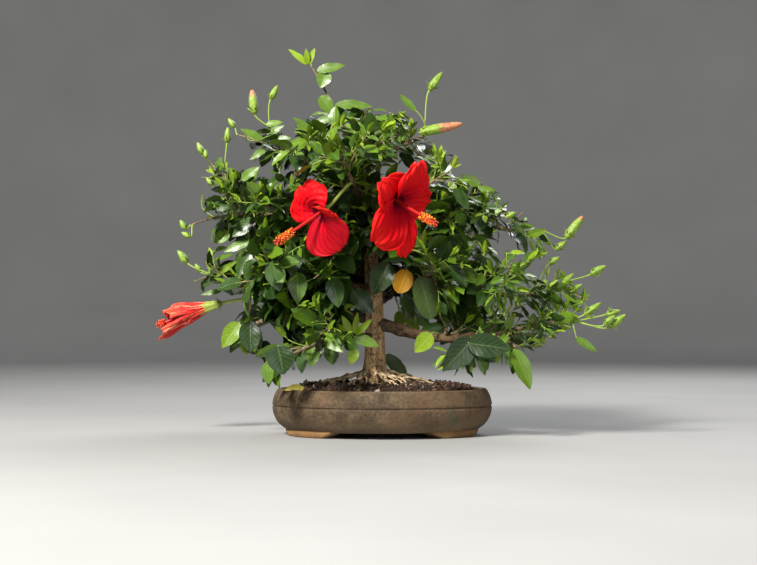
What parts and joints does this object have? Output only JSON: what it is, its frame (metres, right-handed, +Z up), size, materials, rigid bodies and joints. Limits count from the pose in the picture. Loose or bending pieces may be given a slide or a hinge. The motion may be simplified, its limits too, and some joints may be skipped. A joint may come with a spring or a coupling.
{
  "type": "hibiscus bonsai in a pot",
  "caption": "Flowering hibiscus bonsai with spreading boughs, leafy sprays, red blooms and buds, rooted in a low oval stoneware pot that stands on feet.",
  "frame": {"origin": "on the surface that the pot's feet stand on, under the middle of the pot and of the whole plant", "axes": "+X to the right along the pot's long side and the crown's widest spread, +Y to the back, +Z up"},
  "size_m": [0.5997, 0.382, 0.5045],
  "materials": {
    "stoneware": "unglazed, matt, grey-brown with paler feet",
    "grit": "coarse mixed grit, moist",
    "bark": "smooth tan bark with dark pores and shallow flutes",
    "leaves": "glossy green, paler at the young tips",
    "petals": "soft satin scarlet with a crimson throat"
  },
  "bodies": {
    "root": {"pot": "stoneware", "soil": "grit", "trunk": "bark", "bough_right_low": "bark", "bough_left_low": "bark", "bough_front_left_low": "bark", "bough_left_mid": "bark", "bough_left_upper": "bark", "bough_top_left": "bark", "bough_top_right": "bark", "bough_right_upper": "bark", "bough_right_mid": "bark", "bough_front_upper": "bark", "bough_front_right": "bark", "bough_back_low": "bark", "bough_back_left": "bark", "bough_back_right": "bark", "bough_back_upper": "bark", "leaves_top_leader": "leaves", "leaves_top_centre": "leaves", "leaves_front_centre": "leaves", "leaves_top_right_bud": "leaves", "leaves_top_right_outer": "leaves", "leaves_top_right_back": "leaves", "leaves_top_left_bud": "leaves", "leaves_top_left_outer": "leaves", "leaves_top_left_front": "leaves", "leaves_top_left_back": "leaves", "leaves_left_upper_tip": "leaves", "leaves_left_upper_low": "leaves", "leaves_left_upper_front": "leaves", "leaves_left_upper_back": "leaves", "leaves_left_mid_tip": "leaves", "leaves_left_mid_front": "leaves", "leaves_left_mid_inner": "leaves", "leaves_left_low_tip": "leaves", "leaves_left_low_front": "leaves", "leaves_left_low_back": "leaves", "leaves_left_low_hang": "leaves", "leaves_front_left_low": "leaves", "leaves_front_upper": "leaves", "leaves_front_right": "leaves", "leaves_front_right_low": "leaves", "leaves_right_upper_tip": "leaves", "leaves_right_upper_top": "leaves", "leaves_right_upper_side": "leaves", "leaves_right_mid_tip": "leaves", "leaves_right_mid_front": "leaves", "leaves_right_low_tip": "leaves", "leaves_right_low_under": "leaves", "leaves_right_low_hang": "leaves", "leaves_right_low_front": "leaves", "leaves_right_low_back": "leaves", "leaves_back_low": "leaves", "leaves_back_left": "leaves", "leaves_back_right": "leaves", "leaves_back_upper": "leaves", "bloom_left": "petals", "bloom_right": "petals", "bloom_closing": "petals"}
  },
  "joints": []
}
